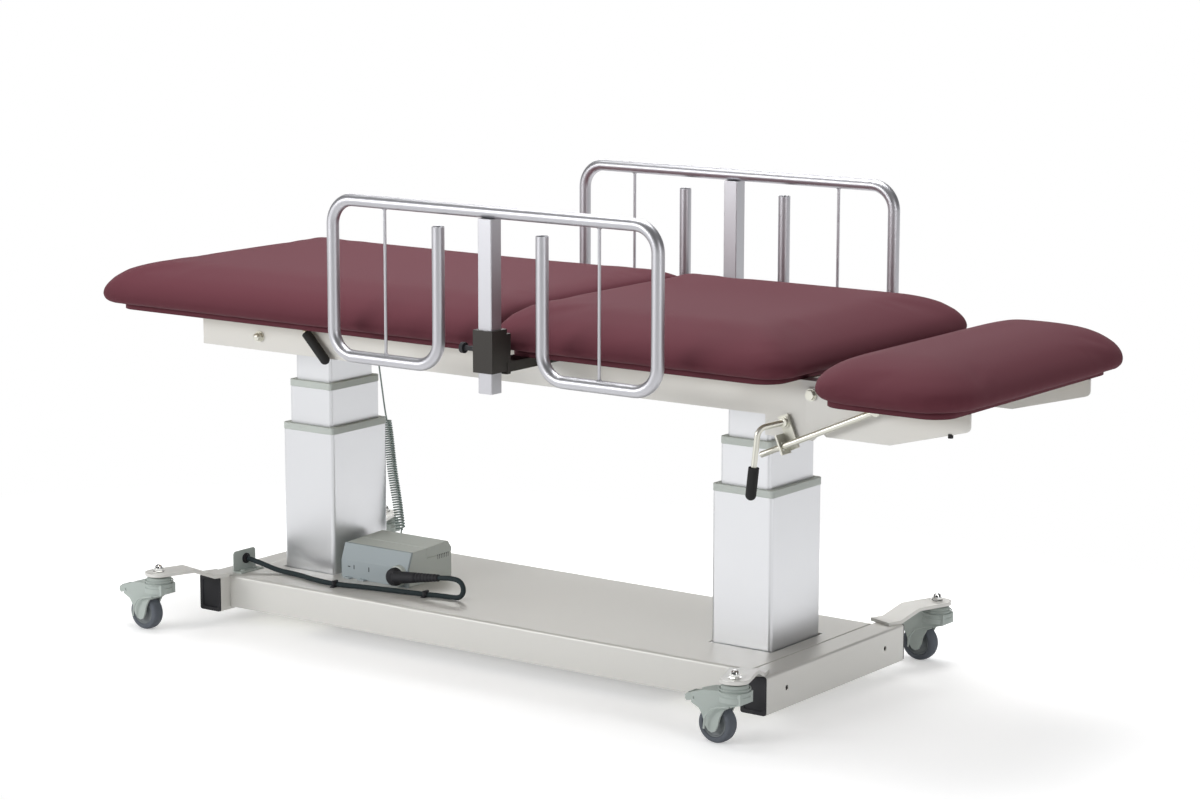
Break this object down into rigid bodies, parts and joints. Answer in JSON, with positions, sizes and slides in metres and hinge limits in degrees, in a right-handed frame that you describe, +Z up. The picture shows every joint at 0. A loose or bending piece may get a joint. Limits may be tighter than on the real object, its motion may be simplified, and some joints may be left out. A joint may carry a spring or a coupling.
{
  "type": "ultrasound examination table",
  "caption": "Padded examination table with raising back, dropping foot section and sliding side rails, lifted by telescopic columns on a castered base",
  "frame": {"origin": "on the floor under the middle of the outline", "axes": "+X towards the foot end, -Y is the near long side, +Z up"},
  "size_m": [2.155, 0.9096, 0.9987],
  "materials": {
    "white_steel": "semi-gloss powder coat, warm light grey",
    "column_aluminium": "satin anodised",
    "collar_plastic": "matt pale grey-green",
    "zinc_steel": "bright zinc plate",
    "motor_grey": "matt dark grey",
    "plywood": "raw birch plywood",
    "vinyl": "upholstery vinyl over foam, soft sheen",
    "silver_tube": "satin silver powder coat",
    "black_metal": "semi-gloss black",
    "caster_grey": "fine-textured nylon",
    "caster_tyre": "non-marking grey tread",
    "black_plastic": "moulded black",
    "black_rubber": "dipped vinyl",
    "box_plastic": "pale green-grey housing",
    "box_front_plastic": "grey-blue housing",
    "cord_vinyl": "smooth jacket",
    "cord_grey": "smooth coiled jacket"
  },
  "bodies": {
    "base": {"base_platform": "white_steel", "cross_tubes": "white_steel", "cross_tube_caps": "black_plastic", "column_mount_plates": "white_steel", "outer_stages": "column_aluminium", "outer_collars": "collar_plastic", "lift_screws": "zinc_steel", "caster_arms": "white_steel", "caster_stems": "zinc_steel", "control_box_case": "box_plastic", "control_box_front": "box_front_plastic", "control_box_cover": "box_plastic", "power_cord": "cord_vinyl", "power_plug": "black_plastic", "cord_clips": "black_plastic", "cord_bracket": "white_steel", "power_inlet": "black_plastic"},
    "middle": {"middle_stages": "column_aluminium", "middle_collars": "collar_plastic"},
    "top": {"inner_stages": "column_aluminium", "lift_motors": "motor_grey", "column_top_plates": "white_steel", "top_frame": "white_steel", "seat_board": "plywood", "seat_pad": "vinyl", "rail_brackets": "black_metal", "frame_bolts": "zinc_steel", "gas_spring_body": "black_metal", "curly_cord": "cord_grey"},
    "back_section": {"back_frame": "white_steel", "head_board": "plywood", "head_pad": "vinyl", "head_pad_nose": "vinyl"},
    "spring_rod": {"gas_spring_rod": "zinc_steel"},
    "release": {"release_lever": "zinc_steel", "release_lever_grip": "black_rubber"},
    "foot_section": {"foot_frame": "white_steel", "foot_board": "plywood", "foot_pad": "vinyl", "foot_bumpers": "black_rubber"},
    "support_bar": {"foot_support_bar": "zinc_steel"},
    "bar_guide": {"lock_bracket": "zinc_steel"},
    "lock": {"lock_lever": "zinc_steel", "lock_lever_grip": "black_rubber"},
    "near_side_rail": {"near_rail": "silver_tube"},
    "far_side_rail": {"far_rail": "silver_tube"},
    "near_side_plunger": {"near_plunger": "black_metal"},
    "far_side_plunger": {"far_plunger": "black_metal"},
    "fork_head_near": {"caster_fork_head_near": "caster_grey"},
    "wheel_head_near": {"caster_wheel_head_near": "caster_tyre"},
    "pedal_head_near": {"caster_pedal_head_near": "caster_grey"},
    "fork_head_far": {"caster_fork_head_far": "caster_grey"},
    "wheel_head_far": {"caster_wheel_head_far": "caster_tyre"},
    "pedal_head_far": {"caster_pedal_head_far": "caster_grey"},
    "fork_foot_near": {"caster_fork_foot_near": "caster_grey"},
    "wheel_foot_near": {"caster_wheel_foot_near": "caster_tyre"},
    "pedal_foot_near": {"caster_pedal_foot_near": "caster_grey"},
    "fork_foot_far": {"caster_fork_foot_far": "caster_grey"},
    "wheel_foot_far": {"caster_wheel_foot_far": "caster_tyre"},
    "pedal_foot_far": {"caster_pedal_foot_far": "caster_grey"}
  },
  "joints": [
    {"name": "lift", "type": "slide", "parent": "base", "child": "top", "axis": [0, 0, 1], "range_m": [-0.12, 0.18], "deforming": ["curly_cord"]},
    {"name": "lift_middle", "type": "slide", "parent": "base", "child": "middle", "axis": [0, 0, 1], "range_m": [-0.06, 0.09]},
    {"name": "back_hinge", "type": "hinge", "parent": "top", "child": "back_section", "pos_m": [0.0225, 0, 0.697], "axis": [0, 1, 0], "range_deg": [0, 60], "deforming": ["head_pad_nose"]},
    {"name": "spring_slide", "type": "slide", "parent": "top", "child": "spring_rod", "axis": [-1, 0, 0], "range_m": [0, 0.0605]},
    {"name": "release_pivot", "type": "hinge", "parent": "top", "child": "release", "pos_m": [-0.5675, -0.235, 0.674], "axis": [0, 1, 0], "range_deg": [0, 25], "stiffness_Nm_per_rad": 0.6, "springref_deg": -17.19},
    {"name": "foot_hinge", "type": "hinge", "parent": "top", "child": "foot_section", "pos_m": [0.6915, 0, 0.664], "axis": [0, 1, 0], "range_deg": [0, 60]},
    {"name": "support_pivot", "type": "hinge", "parent": "foot_section", "child": "support_bar", "pos_m": [0.8465, -0.259, 0.652], "axis": [0, 1, 0], "range_deg": [-20.5, 0]},
    {"name": "guide_pivot", "type": "hinge", "parent": "top", "child": "bar_guide", "pos_m": [0.6355, -0.2416, 0.606], "axis": [0, 1, 0], "range_deg": [0, 37.5]},
    {"name": "lock_pivot", "type": "hinge", "parent": "top", "child": "lock", "pos_m": [0.6355, -0.25, 0.606], "axis": [0, 1, 0], "range_deg": [-10, 60]},
    {"name": "near_rail_slide", "type": "slide", "parent": "top", "child": "near_side_rail", "axis": [0, 0, 1], "range_m": [-0.19, 0]},
    {"name": "near_plunger_slide", "type": "slide", "parent": "top", "child": "near_side_plunger", "axis": [-1, 0, 0], "range_m": [0, 0.008], "stiffness_N_per_m": 1500, "springref_m": -0.004},
    {"name": "far_rail_slide", "type": "slide", "parent": "top", "child": "far_side_rail", "axis": [0, 0, 1], "range_m": [-0.19, 0]},
    {"name": "far_plunger_slide", "type": "slide", "parent": "top", "child": "far_side_plunger", "axis": [-1, 0, 0], "range_m": [0, 0.008], "stiffness_N_per_m": 1500, "springref_m": -0.004},
    {"name": "swivel_head_near", "type": "hinge", "parent": "base", "child": "fork_head_near", "pos_m": [-0.8745, -0.3835, 0.11], "axis": [0, 0, 1], "continuous": true},
    {"name": "roll_head_near", "type": "hinge", "parent": "fork_head_near", "child": "wheel_head_near", "pos_m": [-0.9125, -0.3835, 0.038], "axis": [0, 1, 0], "continuous": true},
    {"name": "brake_head_near", "type": "hinge", "parent": "fork_head_near", "child": "pedal_head_near", "pos_m": [-0.9525, -0.3835, 0.086], "axis": [0, -1, 0], "range_deg": [0, 12]},
    {"name": "swivel_head_far", "type": "hinge", "parent": "base", "child": "fork_head_far", "pos_m": [-0.8745, 0.3835, 0.11], "axis": [0, 0, 1], "continuous": true},
    {"name": "roll_head_far", "type": "hinge", "parent": "fork_head_far", "child": "wheel_head_far", "pos_m": [-0.9125, 0.3835, 0.038], "axis": [0, 1, 0], "continuous": true},
    {"name": "brake_head_far", "type": "hinge", "parent": "fork_head_far", "child": "pedal_head_far", "pos_m": [-0.9525, 0.3835, 0.086], "axis": [0, -1, 0], "range_deg": [0, 12]},
    {"name": "swivel_foot_near", "type": "hinge", "parent": "base", "child": "fork_foot_near", "pos_m": [0.6195, -0.3835, 0.11], "axis": [0, 0, 1], "continuous": true},
    {"name": "roll_foot_near", "type": "hinge", "parent": "fork_foot_near", "child": "wheel_foot_near", "pos_m": [0.5815, -0.3835, 0.038], "axis": [0, 1, 0], "continuous": true},
    {"name": "brake_foot_near", "type": "hinge", "parent": "fork_foot_near", "child": "pedal_foot_near", "pos_m": [0.5415, -0.3835, 0.086], "axis": [0, -1, 0], "range_deg": [0, 12]},
    {"name": "swivel_foot_far", "type": "hinge", "parent": "base", "child": "fork_foot_far", "pos_m": [0.6195, 0.3835, 0.11], "axis": [0, 0, 1], "continuous": true},
    {"name": "roll_foot_far", "type": "hinge", "parent": "fork_foot_far", "child": "wheel_foot_far", "pos_m": [0.5815, 0.3835, 0.038], "axis": [0, 1, 0], "continuous": true},
    {"name": "brake_foot_far", "type": "hinge", "parent": "fork_foot_far", "child": "pedal_foot_far", "pos_m": [0.5415, 0.3835, 0.086], "axis": [0, -1, 0], "range_deg": [0, 12]}
  ],
  "couplings": [
    {"joint": "lift_middle", "follows": "lift", "ratio": 0.5},
    {"joint": "spring_slide", "follows": "back_hinge", "m_per_rad": 0.0573},
    {"joint": "support_pivot", "follows": "foot_hinge", "ratio": -0.335},
    {"joint": "guide_pivot", "follows": "foot_hinge", "ratio": 0.615}
  ]
}
